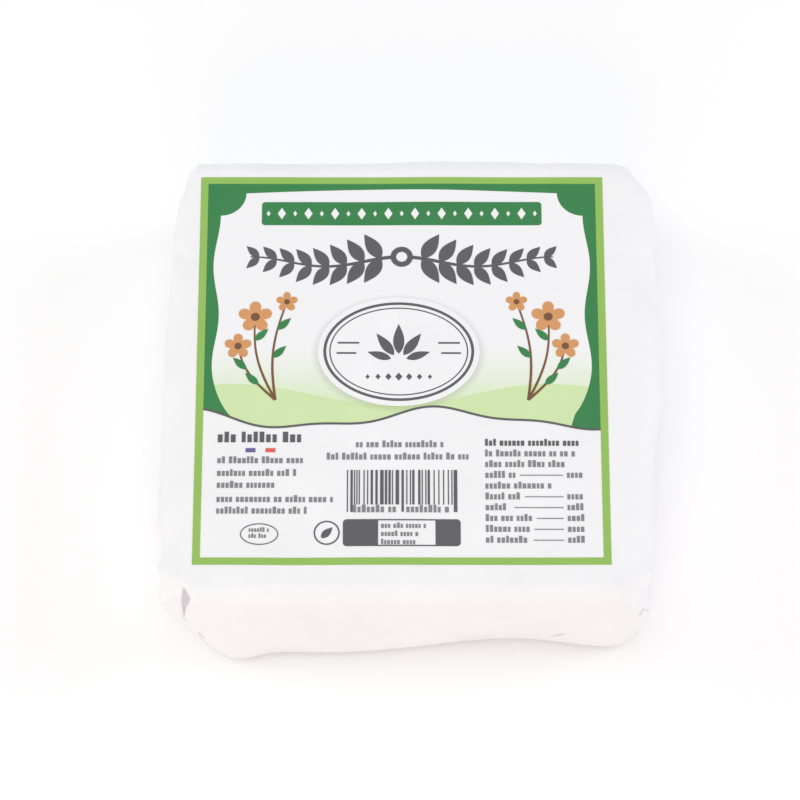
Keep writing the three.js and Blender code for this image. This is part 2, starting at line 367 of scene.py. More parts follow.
def end_fold(points):
    """How far the folded ends stand out."""
    _, y, z = points.T
    beyond_top = np.abs(y) - flap_half(HEIGHT - z)
    beyond_base = np.abs(y) - flap_half(z)
    top_flap = TOP_FLAP_LIFT * (1 - smooth_step(-FLAP_EDGE, FLAP_EDGE, beyond_top))
    base_flap = BASE_FLAP_LIFT * (1 - smooth_step(-FLAP_EDGE, FLAP_EDGE, beyond_base))
    into_tuck = (np.minimum(beyond_top, beyond_base) - TUCK_OFFSET) / TUCK_REACH
    hollow = TUCK_HOLLOW * np.exp(-into_tuck ** 2)
    return fold_weight(points) * (np.maximum(top_flap, base_flap) - hollow)


def move_places(points, places):
    moved = points.copy()
    for at, reach, move in places.values():
        weight = np.exp(-(((points - at) / reach) ** 2).sum(axis=1))
        moved += weight[:, None] * move
    return moved


def crease_relief(points, outward):
    """Grooves along straight lines, with a low ridge on both sides, that fade out at their ends.
    How far a point is from the line is measured along the paper."""
    relief = np.zeros(len(points))
    for start, end, (half_width, depth) in CREASES.values():
        along = end - start
        t = np.clip(((points - start) @ along) / (along @ along), 0, 1)
        offset = points - start - t[:, None] * along
        near = 1 - smooth_step(CREASE_NEAR, CREASE_FAR, np.linalg.norm(offset, axis=1))
        offset -= outward * (offset * outward).sum(axis=1)[:, None]
        away = np.linalg.norm(offset, axis=1) / half_width
        ridge = RIDGE_SHARE * np.exp(-((away - RIDGE_AWAY) / RIDGE_WIDTH) ** 2)
        relief += depth * near * np.sin(pi * t) * (ridge - np.exp(-away ** 2))
    return relief


def scatter_crumples():
    """Short creases at random places of the four sides: centre, direction across, reach and slope."""
    rng = random.Random(CRUMPLE_SEED)
    crumples = []
    for side in (-1, 1):
        for on_end, (count, reaches, slopes) in ((True, END_CRUMPLES), (False, FACE_CRUMPLES)):
            for _ in range(count):
                along, height = rng.uniform(-1, 1), rng.uniform(0.05, 0.95) * HEIGHT
                angle = rng.uniform(0, pi)
                across, upwards = cos(angle), sin(angle)
                reach = rng.uniform(*reaches)
                slope = rng.choice((-1, 1)) * rng.uniform(*slopes)
                if on_end:
                    centre = (side * HALF_WIDTH, along * HALF_DEPTH, height)
                    direction = (0.0, across, upwards)
                else:
                    centre = (along * HALF_WIDTH, side * HALF_DEPTH, height)
                    direction = (across, 0.0, upwards)
                crumples.append((np.array(centre), np.array(direction), reach, slope))
    return crumples


def crumple_relief(points):
    """Sharp ridges and valleys between flat facets, each fading out round its own centre."""
    relief = np.zeros(len(points))
    for centre, direction, reach, slope in scatter_crumples():
        away = points - centre
        fade = np.exp(-(away ** 2).sum(axis=1) / reach ** 2)
        relief += slope * np.abs(away @ direction) * fade
    return relief


def paper_waves(points, outward):
    """Slow waves of a hand-wrapped paper, from a few plane waves in random directions."""
    rng = random.Random(WAVE_SEED)
    waves = np.zeros(len(points))
    for _ in range(WAVE_COUNT):
        direction = Vector((rng.gauss(0, 1), rng.gauss(0, 1), rng.gauss(0, 1))).normalized()
        length = rng.uniform(*WAVE_LENGTHS)
        phase = rng.uniform(0, 2 * pi)
        waves += np.sin(points @ np.array(direction) * 2 * pi / length + phase)
    end, face = np.abs(outward[:, 0]), np.abs(outward[:, 1])
    top = np.clip(outward[:, 2], 0, 1)
    return WAVE_HEIGHT * waves * (TOP_WAVES * top + FACE_WAVES * face + END_WAVES * end)


def fold_and_move(rounded, fold):
    """Adds the end folds, the lean and the uneven places that the solid has too."""
    folded = rounded.copy()
    folded[:, 0] += np.sign(rounded[:, 0]) * fold + SKEW * rounded[:, 1] / HALF_DEPTH
    return move_places(folded, UNEVEN_PLACES)


def on_wrapper(points, flap_lift=0.0, hug=1.0):
    """Maps points on the plain box to the paper, with their outward directions. A flap lies level at its
    own lift over the end, and follows the folds below it as far as it hugs them."""
    rounded, outward = round_box(points)
    fold = hug * end_fold(rounded) + (1 - hug) * flap_lift * fold_weight(rounded)
    wrapped = move_places(fold_and_move(rounded, fold), PAPER_PLACES)
    on_side = np.hypot(outward[:, 0], outward[:, 1])
    relief = crease_relief(wrapped, outward) + crumple_relief(wrapped) * on_side
    relief += paper_waves(wrapped, outward)
    wrapped += outward * relief[:, None]
    wrapped[:, 2] = UNDERSIDE_LIFT + wrapped[:, 2] * (HEIGHT - UNDERSIDE_LIFT) / HEIGHT
    return wrapped, outward


# Meshes of the wrapper and its flaps

def unit_cube_grid():
    """Vertices and squares of a cube from -1 to 1, with shared vertices along its edges."""
    counts = (SEGMENTS_X, SEGMENTS_Y, SEGMENTS_Z)
    lines = [np.linspace(-1, 1, count + 1) for count in counts]
    vertices, squares, total = [], [], 0
    for axis in range(3):
        u_axis, v_axis = (axis + 1) % 3, (axis + 2) % 3
        u, v = np.meshgrid(lines[u_axis], lines[v_axis], indexing="ij")
        columns = len(lines[v_axis])
        i, j = np.meshgrid(np.arange(counts[u_axis]), np.arange(counts[v_axis]), indexing="ij")
        corner = (i * columns + j).ravel()
        square = np.stack([corner, corner + columns, corner + columns + 1, corner + 1], axis=1)
        for side in (-1.0, 1.0):
            points = np.empty((u.size, 3))
            points[:, axis], points[:, u_axis], points[:, v_axis] = side, u.ravel(), v.ravel()
            vertices.append(points)
            squares.append(square + total)
            total += len(points)
    shared, index = np.unique(np.round(np.concatenate(vertices), 7), axis=0, return_inverse=True)
    return shared, index.reshape(-1)[np.concatenate(squares)]


def plain_box(units):
    return np.stack([
        crowd(units[:, 0], PLAN_CROWDING) * HALF_WIDTH,
        crowd(units[:, 1], PLAN_CROWDING) * HALF_DEPTH,
        (crowd(units[:, 2], HEIGHT_CROWDING) + 1) / 2 * HEIGHT,
    ], axis=1)


def new_object(name, vertices, faces, material):
    """A mesh object with its faces turned outwards, smooth apart from its sharp edges."""
    mesh = bpy.data.meshes.new(name)
    mesh.from_pydata([tuple(v) for v in vertices], [], [tuple(int(i) for i in f) for f in faces])
    mesh.validate()
    work = bmesh.new()
    work.from_mesh(mesh)
    bmesh.ops.recalc_face_normals(work, faces=work.faces)
    work.to_mesh(mesh)
    work.free()
    mesh.polygons.foreach_set("use_smooth", [True] * len(mesh.polygons))
    mesh.set_sharp_from_angle(angle=SHARP_ANGLE)
    mesh.materials.append(material)
    mesh.update()
    obj = bpy.data.objects.new(name, mesh)
    bpy.context.scene.collection.objects.link(obj)
    return obj


def recentring():
    """The shift that puts the wrapper's box where the solid's box is."""
    units, _ = unit_cube_grid()
    low, high = (np.array(corner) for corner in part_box(NODE))
    rounded, _ = round_box(plain_box(units))
    moved = fold_and_move(rounded, end_fold(rounded))
    shift = (low + high) / 2 - (moved.min(axis=0) + moved.max(axis=0)) / 2
    shift[2] = 0.0
    return shift


def make_wrapper(shift, material):
    units, squares = unit_cube_grid()
    points, _ = on_wrapper(plain_box(units))
    return new_object("wrapper", points + shift, squares, material)


def sheet_mesh(points, outward, rows, columns, stand_off):
    """A thin closed sheet over a grid of wrapper points, standing off them by stand_off."""
    outer = points + outward * stand_off[:, None]
    inner = outer - outward * PAPER_THICKNESS
    count = rows * columns
    faces = []
    for i in range(rows - 1):
        for j in range(columns - 1):
            a = i * columns + j
            faces.append((a, a + 1, a + columns + 1, a + columns))
            faces.append((a + count, a + columns + count, a + columns + 1 + count, a + 1 + count))
    rim = list(range(columns))
    rim += [i * columns + columns - 1 for i in range(1, rows)]
    rim += [(rows - 1) * columns + j for j in range(columns - 2, -1, -1)]
    rim += [i * columns for i in range(rows - 2, 0, -1)]
    for k, a in enumerate(rim):
        b = rim[(k + 1) % len(rim)]
        faces.append((b, a, a + count, b + count))
    return np.concatenate([outer, inner]), faces


def make_flap(name, end, heights, from_edge, lift, shift, material):
    """One flap of an end: it leaves the wrapper at its first height and has free edges on the other sides.
    It hugs the folds below it at its root and along its slanting edges."""
    z, u = np.meshgrid(np.linspace(*heights, FLAP_ROWS), np.linspace(-1, 1, FLAP_COLUMNS), indexing="ij")
    z, u = z.ravel(), u.ravel()
    half = flap_half(np.abs(from_edge - z)) + FLAP_OVERHANG
    plain = np.stack([np.full(z.size, end * HALF_WIDTH), u * half, z], axis=1)
    from_root = np.abs(z - heights[0])
    at_slant = FLAP_HUG * smooth_step(FLAP_HUG_FROM, 1.0, np.abs(u))
    free = smooth_step(0.0, FLAP_ROOT, from_root) * (1 - at_slant)
    points, outward = on_wrapper(plain, lift, 1 - free)
    emerge = smooth_step(0.0, FLAP_EMERGE, from_root)
    rise = FLAP_STAND_OFF * emerge - FLAP_SUNK * (1 - emerge)
    return new_object(name, *sheet_mesh(points + shift, outward, FLAP_ROWS, FLAP_COLUMNS, rise), material)


def make_end_flaps(end, shift, material):
    side = "left" if end < 0 else "right"
    return [make_flap(f"{name}_{side}", end, *flap, shift, material) for name, flap in END_FLAPS.items()]


def make_underside_lap(shift, material):
    """The front half of the wrapper laps over the back half along the middle of the underside."""
    x_lines = np.linspace(-1, 1, LAP_COLUMNS) * (HALF_WIDTH - LAP_SIDE)
    y_lines = np.linspace(LAP_START - HALF_DEPTH, LAP_EDGE_Y, LAP_ROWS)
    plain = np.array([(x, y, 0.0) for y in y_lines for x in x_lines])
    emerge = smooth_step(LAP_START - HALF_DEPTH, 3 * LAP_START - HALF_DEPTH, plain[:, 1])
    points, outward = on_wrapper(plain)
    rise = LAP_STAND_OFF * emerge - FLAP_SUNK * (1 - emerge)
    lap = sheet_mesh(points + shift, outward, LAP_ROWS, LAP_COLUMNS, rise)
    return new_object("underside_lap", *lap, material)


def unfold_front(x, z):
    """A point of the plain box from flat coordinates of its front, which run on over its edges."""
    over = max(abs(x) - HALF_WIDTH, z - HEIGHT, 0.0)
    return np.clip(x, -HALF_WIDTH, HALF_WIDTH), over - HALF_DEPTH, min(z, HEIGHT)


def level_sheet(plain, rows, columns, stand_off, shift):
    """A thin sheet over a grid of plain points, at one distance from the paper."""
    points, outward = on_wrapper(np.array(plain))
    return sheet_mesh(points + shift, outward, rows, columns, np.full(len(points), stand_off))


def make_pocket_painted_shade(shift, material):
    """A sheet of painted shade in the opening behind the ear: straight at the left, widest towards its upper
    end.
    """
    plain = []
    for t in np.linspace(0, 1, POCKET_ROWS):
        rising = (t / POCKET_WIDEST) ** POCKET_CURVE
        falling = POCKET_TIP + (1 - POCKET_TIP) * (1 - t) / (1 - POCKET_WIDEST)
        width = POCKET_WIDTH * max(min(rising, falling), POINT_SHARE)
        left = POCKET_X + POCKET_LEAN * smooth_step(POCKET_WIDEST, 1.0, t)
        height = POCKET_LOW + t * (POCKET_HIGH - POCKET_LOW)
        plain += [unfold_front(left + u * width, height) for u in np.linspace(0, 1, POCKET_COLUMNS)]
    opening = level_sheet(plain, POCKET_ROWS, POCKET_COLUMNS, POCKET_STAND_OFF, shift)
    return new_object("ear_pocket_painted_shade", *opening, material)


def make_crease_shades(shift, material):
    """Thin slivers of painted shade in the sharpest creases, pointed at both ends."""
    vertices, faces = [], []
    for start, end, width in CREASE_SHADES.values():
        along = (end - start) / np.linalg.norm(end - start)
        across = np.array([-along[1], along[0]])
        plain = []
        for t in np.linspace(0, 1, SHADE_ROWS):
            half = width / 2 * max(sin(pi * t), POINT_SHARE)
            middle = start + (end - start) * t
            plain += [unfold_front(*(middle + across * half * u)) for u in np.linspace(-1, 1, SHADE_COLUMNS)]
        sliver, squares = level_sheet(plain, SHADE_ROWS, SHADE_COLUMNS, SHADE_STAND_OFF, shift)
        faces += [tuple(len(vertices) + k for k in square) for square in squares]
        vertices += list(sliver)
    return new_object("crease_shades", vertices, faces, material)


# Materials

def srgb(*values):
    """An sRGB colour from 0 to 255 as linear RGBA."""
    linear = [((v / 255 + 0.055) / 1.055) ** 2.4 if v > 10 else v / 255 / 12.92 for v in values]
    return (*linear, 1.0)


def add_node(tree, kind, inputs=None, **settings):
    """A new shader node with its settings and the values of its inputs."""
    node = tree.nodes.new(f"ShaderNode{kind}")
    for key, value in settings.items():
        setattr(node, key, value)
    for key, value in (inputs or {}).items():
        node.inputs[key].default_value = value
    return node


def add_ramp(tree, low, high, start=0.0, end=1.0):
    """A ramp from one sRGB colour to another over a part of its range."""
    ramp = add_node(tree, "ValToRGB")
    first, last = ramp.color_ramp.elements
    first.position, first.color = start, srgb(*low)
    last.position, last.color = end, srgb(*high)
    return ramp


def join(tree, source, output, target, socket):
    """Links an output of one node to an input of another."""
    tree.links.new(source.outputs[output], target.inputs[socket])


def paper_material(name, colour, roughness):
    """Satin paper: faint cloudy mottling, fine fibres and a soft uneven sheen."""
    material = bpy.data.materials.new(name)
    material.use_nodes = True
    tree = material.node_tree
    shader = tree.nodes["Principled BSDF"]
    shader.inputs["Specular IOR Level"].default_value = SPECULAR
    place = add_node(tree, "TexCoord")
    cloud = add_node(tree, "TexNoise", CLOUD)
    join(tree, place, "Object", cloud, "Vector")
    darker, lighter = ([v + change for v in colour] for change in (-MOTTLE, MOTTLE))
    ramp = add_ramp(tree, darker, lighter, CLOUD_DARK, CLOUD_LIGHT)
    join(tree, cloud, "Fac", ramp, "Fac")
    join(tree, ramp, "Color", shader, "Base Color")
    span = {"To Min": roughness - ROUGHNESS_SPREAD, "To Max": roughness + ROUGHNESS_SPREAD}
    sheen = add_node(tree, "MapRange", span)
    join(tree, cloud, "Fac", sheen, "Value")
    join(tree, sheen, "Result", shader, "Roughness")
    fibre = add_node(tree, "TexNoise", FIBRE)
    join(tree, place, "Object", fibre, "Vector")
    fine = add_node(tree, "Bump", FIBRE_BUMP)
    join(tree, fibre, "Fac", fine, "Height")
    join(tree, fine, "Normal", shader, "Normal")
    return material


def in_badge_shadow(material):
    """Puts the soft shadow round the badge on a material's colour."""
    tree = material.node_tree
    base = tree.nodes["Principled BSDF"].inputs["Base Color"]
    x, y, rx, ry = BADGE
    centre = (LABEL_X + x * MM, LABEL_Y + (y - BADGE_DROP) * MM, 0.0)
    place = add_node(tree, "TexCoord")
    off = add_node(tree, "VectorMath", {1: centre}, operation="SUBTRACT")
    join(tree, place, "Object", off, 0)
    scaled = add_node(tree, "VectorMath", {1: (1 / (rx * MM), 1 / (ry * MM), 0.0)}, operation="MULTIPLY")
    join(tree, off, "Vector", scaled, 0)
    ring = add_node(tree, "VectorMath", operation="LENGTH")
    join(tree, scaled, "Vector", ring, 0)
    span = {"From Min": 1.0 - BADGE_DROP / ry, "From Max": 1.0 + BADGE_BLUR / rx, "To Min": SHADOW_SHARE}
    share = add_node(tree, "MapRange", span, interpolation_type="SMOOTHSTEP")
    join(tree, ring, "Value", share, "Value")
    shaded = add_node(tree, "VectorMath", operation="SCALE")
    tree.links.new(base.links[0].from_socket, shaded.inputs[0])
    join(tree, share, "Result", shaded, "Scale")
    tree.links.new(shaded.outputs["Vector"], base)
    return material


def fade_material(name):
    """Ink that fades upwards from pale green into the paper's white, with the badge's shadow on it."""
    material = paper_material(name, PAPER, INK_ROUGHNESS)
    tree = material.node_tree
    place = add_node(tree, "TexCoord")
    split = add_node(tree, "SeparateXYZ")
    join(tree, place, "Object", split, "Vector")
    span = {"From Min": LABEL_Y + HILL_Y * MM, "From Max": LABEL_Y + FADE_TOP_Y * MM}
    height = add_node(tree, "MapRange", span)
    join(tree, split, "Y", height, "Value")
    ramp = add_ramp(tree, FADE_INK, PAPER)
    ramp.color_ramp.interpolation = "EASE"
    join(tree, height, "Result", ramp, "Fac")
    join(tree, ramp, "Color", tree.nodes["Principled BSDF"], "Base Color")
    return in_badge_shadow(material)


def hill_material(name):
    """Plain hill ink with the badge's shadow on it."""
    return in_badge_shadow(paper_material(name, HILL_INK, INK_ROUGHNESS))


def ink_materials():
    materials = {"fade": fade_material("ink_fade"), "hill": hill_material("ink_hill")}
    for name, colour in INKS.items():
        materials[name] = paper_material(f"ink_{name}", colour, INK_ROUGHNESS)
    return materials


# Label shapes: closed outlines in millimetres on the label's own plane, origin at its centre

def rectangle(x0, y0, x1, y1, radius=0.0, steps=6):
    if radius <= 0:
        return [(x0, y0), (x1, y0), (x1, y1), (x0, y1)]
    corners = [(x1 - radius, y0 + radius, -90), (x1 - radius, y1 - radius, 0),
               (x0 + radius, y1 - radius, 90), (x0 + radius, y0 + radius, 180)]
    points = []
    for cx, cy, first in corners:
        for k in range(steps + 1):
            angle = radians(first + 90 * k / steps)
            points.append((cx + radius * cos(angle), cy + radius * sin(angle)))
    return points


def ellipse(cx, cy, rx, ry, steps=72):
    angles = [2 * pi * k / steps for k in range(steps)]
    return [(cx + rx * cos(a), cy + ry * sin(a)) for a in angles]


def outlined(cx, cy, rx, ry, rim, steps=72):
    """The two outlines of an ellipse that is drawn as a line."""
    return [ellipse(cx, cy, rx, ry, steps), ellipse(cx, cy, rx - rim, ry - rim, steps)]


def lozenge(x, y, rx, ry):
    return [(x - rx, y), (x, y - ry), (x + rx, y), (x, y + ry)]


def leaf(x, y, length, width, angle, belly=0.8, steps=10):
    """A pointed leaf that starts at a point and runs along an angle, fullest before its middle."""
    points = []
    for side in (1, -1):
        for k in range(steps):
            t = k / steps if side > 0 else 1 - k / steps
            across = side * width / 2 * sin(pi * t ** belly)
            points.append((x + length * t * cos(angle) - across * sin(angle),
                           y + length * t * sin(angle) + across * cos(angle)))
    return points


def flower_head(x, y, reach, turn, petals=5, steps=90):
    """The outline of a flower: rounded petals that meet in notches."""
    points = []
    for k in range(steps):
        angle = 2 * pi * k / steps
        bulge = abs(cos(petals * (angle - turn) / 2)) ** PETAL_ROUND
        share = PETAL_NOTCH + (1 - PETAL_NOTCH) * bulge
        points.append((x + reach * share * cos(angle), y + reach * share * sin(angle)))
    return points


def ribbon(path, thick, thin):
    """A band along a path, which tapers from one thickness to another."""
    upper, lower = [], []
    last = len(path) - 1
    for k, (x, y) in enumerate(path):
        x0, y0 = path[max(k - 1, 0)]
        x1, y1 = path[min(k + 1, last)]
        length = hypot(x1 - x0, y1 - y0)
        half = (thick - (thick - thin) * k / last) / 2
        side_x, side_y = -(y1 - y0) / length * half, (x1 - x0) / length * half
        upper.append((x + side_x, y + side_y))
        lower.append((x - side_x, y - side_y))
    return upper + lower[::-1]


def resample(loop, step):
    points = []
    for (x0, y0), (x1, y1) in zip(loop, loop[1:] + loop[:1]):
        count = max(1, ceil(hypot(x1 - x0, y1 - y0) / step))
        points += [(x0 + (x1 - x0) * k / count, y0 + (y1 - y0) * k / count) for k in range(count)]
    return points


def inside(loops, x, y):
    """Which points lie inside an odd number of outlines."""
    odd = np.zeros(len(x), dtype=bool)
    for loop in loops:
        ends = np.array(loop)
        for (x0, y0), (x1, y1) in zip(ends, np.roll(ends, -1, axis=0)):
            if y0 == y1:
                continue
            crosses = (y0 > y) != (y1 > y)
            odd ^= crosses & (x < x0 + (y - y0) * (x1 - x0) / (y1 - y0))
    return odd


class Ink:
    """One printing ink: thin closed fields on the wrapper, gathered into one piece."""

    def __init__(self, name, material, surface):
        self.name, self.material, self.surface = name, material, surface
        self.vertices, self.faces = [], []

    def lay(self, x, y, layer):
        """A label point on the wrapper's top, raised by its layer."""
        place = Vector((LABEL_X + x * MM, LABEL_Y + y * MM, 1.0))
        hit = self.surface.ray_cast(place, Vector((0, 0, -1)))[0]
        return hit + Vector((0, 0, INK_LIFT + INK_STEP * layer))

    def add(self, points, triangles, layer, rim):
        first = len(self.vertices)
        count = len(points)
        upper = [self.lay(x, y, layer) for x, y in points]
        self.vertices += upper + [p - Vector((0, 0, INK_SINK)) for p in upper]
        for a, b, c in triangles:
            self.faces.append((first + a, first + b, first + c))
            self.faces.append((first + count + c, first + count + b, first + count + a))
        for a, b in rim:
            self.faces.append((first + b, first + a, first + count + a, first + count + b))

    def field(self, loops, layer=PRINT_LAYER, spacing=FIELD_SPACING):
        """A field of ink inside the outlines: an outline inside another one is a hole."""
        loops = [resample(loop, EDGE_SPACING) for loop in loops]
        points = [p for loop in loops for p in loop]
        edges, first = [], 0
        for loop in loops:
            edges += [(first + k, first + (k + 1) % len(loop)) for k in range(len(loop))]
            first += len(loop)
        xs, ys = np.array(points).T
        grid_x, grid_y = np.meshgrid(np.arange(xs.min(), xs.max(), spacing),
                                     np.arange(ys.min(), ys.max(), spacing))
        grid_x, grid_y = grid_x.ravel(), grid_y.ravel()
        within = inside(loops, grid_x, grid_y)
        points += [(x, y) for x, y in zip(grid_x[within], grid_y[within])]
        places, _, found, _, _, _ = delaunay_2d_cdt([Vector(p) for p in points], edges, [], 0, 1e-8)
        places = [(p.x, p.y) for p in places]
        centres = np.array([np.mean([places[k] for k in f], axis=0) for f in found])
        keep = inside(loops, centres[:, 0], centres[:, 1])
        triangles = [tuple(f) for f, kept in zip(found, keep) if kept]
        directed = {(f[k], f[(k + 1) % 3]) for f in triangles for k in range(3)}
        rim = [(a, b) for a, b in directed if (b, a) not in directed]
        self.add(places, triangles, layer, rim)

    def bar(self, x0, y0, x1, y1):
        """A small upright rectangle, made of two triangles."""
        rim = [(0, 1), (1, 2), (2, 3), (3, 0)]
        self.add(rectangle(x0, y0, x1, y1), [(0, 1, 2), (0, 2, 3)], PRINT_LAYER, rim)

    def make(self):
        piece = new_object(self.name, self.vertices, self.faces, self.material)
        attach(piece, BODY)


# Label design, in millimetres on the label's own plane

def wave(x, height, length, shift_x):
    return height * sin(2 * pi * (x + shift_x) / length)


def hill_line(x):
    return HILL_Y + wave(x, *HILL_WAVE) + wave(x, *HILL_RIPPLE)


def rear_hill_line(x):
    return HILL_Y + REAR_HILL_RISE + wave(x, *REAR_HILL_WAVE)


def garland_line(x):
    return GARLAND_Y + GARLAND_WAVE * cos(2 * pi * x / GARLAND_HALF)


def frame_outline():
    """A band along the top and down both sides, heavy in the top corners and flared at its feet."""
    outer_x, outer_y = LABEL_HALF_W - BORDER, LABEL_HALF_H - BORDER
    corner_x, corner_y = outer_x - FRAME_SIDE, outer_y - FRAME_TOP
    edge = []
    for t in np.linspace(0, 1, 49):
        y = HILL_Y + t * (corner_y - NOTCH_R - HILL_Y)
        flare = FRAME_FLARE * exp(-(y - HILL_Y) / FRAME_FLARE)
        edge.append((corner_x + FRAME_WAVE * (1 - cos(4 * pi * t)) / 2 - flare, y))
    for t in np.linspace(0, 1, 13)[1:]:
        angle = -pi / 2 * (1 + t)
        edge.append((corner_x + NOTCH_R * cos(angle), corner_y + NOTCH_R * sin(angle)))
    for t in np.linspace(0, 1, 17)[1:]:
        edge.append(((corner_x - NOTCH_R) * (1 - t), corner_y + FRAME_ARCH * sin(pi / 2 * t)))
    mirrored = [(-x, y) for x, y in edge[-2::-1]]
    foot_right = [(x, hill_line(x)) for x in np.linspace(outer_x, edge[0][0], 5)]
    foot_left = [(x, hill_line(x)) for x in np.linspace(-edge[0][0], -outer_x, 5)]
    return foot_left + [(-outer_x, outer_y), (outer_x, outer_y)] + foot_right + edge[1:] + mirrored[:-1]


def hill_field(top, bottom, half_width):
    xs = np.linspace(-half_width, half_width, 60)
    return [(x, bottom(x)) for x in xs] + [(x, top(x)) for x in xs[::-1]]


def print_landscape(inks):
    """A pale green gradient over low rolling hills, closed below by a drawn line. The gradient's field
    goes on as plain white up to the frame, because the badge's shadow is part of it."""
    half, top = LABEL_HALF_W - BORDER, LABEL_HALF_H - BORDER
    inks["fade"].field([hill_field(lambda x: top, hill_line, half)], FADE_LAYER)
    inks["hill"].field([hill_field(rear_hill_line, hill_line, half)], HILL_LAYER)
    path = [(x, hill_line(x)) for x in np.linspace(-half, half, 70)]
    inks["dark"].field([ribbon(path, LINE, LINE)], OVER_LAYER)


def print_frame(inks):
    w, h = LABEL_HALF_W, LABEL_HALF_H
    inner = rectangle(BORDER - w, BORDER - h, w - BORDER, h - BORDER)
    inks["lime"].field([rectangle(-w, -h, w, h), inner], spacing=EDGE_SPACING)
    inks["green"].field([frame_outline()], FRAME_LAYER, EDGE_SPACING)


def print_garland(inks):
    """A leafy garland: two sprays that leave a ring in the middle."""
    ink = inks["dark"]
    length, width = GARLAND_LEAF
    lean_near, lean_less = GARLAND_LEAN
    for side in (-1, 1):
        path = [(side * x, garland_line(x)) for x in np.linspace(GARLAND_START, GARLAND_HALF, 40)]
        ink.field([ribbon(path, *GARLAND_STEM)])
        for t in np.linspace(0, 1, GARLAND_PAIRS):
            x = side * (GARLAND_FROM + GARLAND_REACH * t)
            size = 1 - GARLAND_SHRINK * t
            for up in (-1, 1):
                lean = up * radians(lean_near - lean_less * t)
                angle = lean if side > 0 else pi - lean
                ink.field([leaf(x, garland_line(x), length * size, width * size, angle)], OVER_LAYER)
    rings = [ellipse(0, garland_line(0), r, r, 24) for r in (GARLAND_RING, GARLAND_RING / 2)]
    ink.field(rings, WHITE_LAYER)


def print_banner(inks):
    """A plain bar with a row of lozenges."""
    inks["green"].field([rectangle(*BANNER, radius=BANNER_R)], OVER_LAYER)
    x0, y0, x1, y1 = BANNER
    for k in range(LOZENGES):
        rx, ry = LARGE_LOZENGE if k % 2 else SMALL_LOZENGE
        x = x0 + (x1 - x0) * (k + 0.5) / LOZENGES
        inks["white"].field([lozenge(x, (y0 + y1) / 2, rx, ry)], WHITE_LAYER)


def print_badge(inks):
    """An oval badge with a double rim, a fan of leaves, rules on both sides and a row of lozenges."""
    x, y, rx, ry = BADGE
    inks["white"].field([ellipse(x, y, rx, ry)], WHITE_LAYER)
    for inset, thickness in BADGE_RIMS:
        inks["dark"].field(outlined(x, y, rx - inset, ry - inset, thickness), MARK_LAYER)
    length, width = FAN_LEAF
    for turn, size in FAN:
        angle = radians(90 + turn)
        root_x, root_y = x + FAN_GAP * cos(angle), y - FAN_DROP + FAN_GAP * sin(angle)
        inks["dark"].field([leaf(root_x, root_y, length * size, width * size, angle)], MARK_LAYER)
    for side in (-1, 1):
        for row, near, far in BADGE_RULES:
            left, right = sorted((x + side * near, x + side * far))
            rule = rectangle(left, y + row - RULE_HALF, right, y + row + RULE_HALF)
            inks["dark"].field([rule], MARK_LAYER)
    for k in range(-BADGE_ROW_SIDE, BADGE_ROW_SIDE + 1):
        halves = (half - less * abs(k) for half, less in BADGE_LOZENGE)
        mark = lozenge(x + BADGE_ROW_PITCH * k, y - BADGE_ROW_DROP, *halves)
        inks["dark"].field([mark], MARK_LAYER)


def print_sprigs(inks):
    """Two mirrored sprigs of field flowers, one on each side of the badge."""
    for side in (-1, 1):
        root_x, root_y = side * SPRIG_ROOT[0], SPRIG_ROOT[1]
        for layer, (reach_x, reach_y, size, leaves) in enumerate(SPRIG_STEMS, PRINT_LAYER):
            tip_x, tip_y = side * reach_x, reach_y
            path = []
            for t in np.linspace(0, 1, STEM_STEPS):
                bend = side * STEM_BEND * sin(pi * t)
                path.append((root_x + (tip_x - root_x) * t + bend, root_y + (tip_y - root_y) * t))
            inks["brown"].field([ribbon(path, *SPRIG_STEM)], layer)
            for place, outward in leaves:
                blade = leaf(*path[place], *SPRIG_LEAF, pi / 2 - side * outward * SPRIG_LEAF_LEAN)
                inks["green"].field([blade], MARK_LAYER)
            inks["orange"].field([flower_head(tip_x, tip_y, PETAL_REACH * size, pi / 2)], PETAL_LAYER)
            centre_r = FLOWER_CENTRE_R * size
            inks["brown"].field([ellipse(tip_x, tip_y, centre_r, centre_r, 16)], CENTRE_LAYER)


def text_row(ink, rng, x, y, width, height=TEXT_HEIGHT):
    """Greeked text: small blocks in groups, with no letters in them."""
    end = x + width
    while x < end:
        for _ in range(rng.randint(*WORD_BLOCKS)):
            block = height * rng.uniform(*BLOCK_WIDTHS)
            if x + block > end:
                return
            ink.bar(x, y, x + block, y + height * rng.choice(BLOCK_HEIGHTS))
            x += block + BLOCK_GAP * height
        x += WORD_GAP * height


def print_text(inks):
    """Rows of greeked text at the left and in the middle, with two small bars of colour."""
    rng = random.Random(TEXT_SEED)
    text_row(inks["dark"], rng, *HEADING)
    for name, bar in COLOUR_BARS.items():
        inks[name].bar(*bar)
    for row in TEXT_ROWS:
        text_row(inks["text"], rng, *row)


def print_table(inks):
    """Rows of a table: a label, a leader line and a value at the right, or a full row of text."""
    rng = random.Random(TEXT_SEED + 1)
    for row in range(TABLE_ROWS):
        y = TABLE_TOP - TABLE_PITCH * row
        if row in FULL_ROWS:
            ink = inks["dark" if row == 0 else "text"]
            text_row(ink, rng, TABLE_LEFT, y, FULL_ROW_WIDTH - FULL_ROW_LESS * row)
            continue
        label = rng.uniform(*TABLE_LABELS)
        text_row(inks["text"], rng, TABLE_LEFT, y, label)
        value_x = TABLE_RIGHT - TABLE_VALUE
        leader = rectangle(TABLE_LEFT + label + TABLE_GAP, y + LEADER[0], value_x - TABLE_GAP, y + LEADER[1])
        inks["text"].field([leader])
        text_row(inks["text"], rng, value_x, y, TABLE_VALUE)


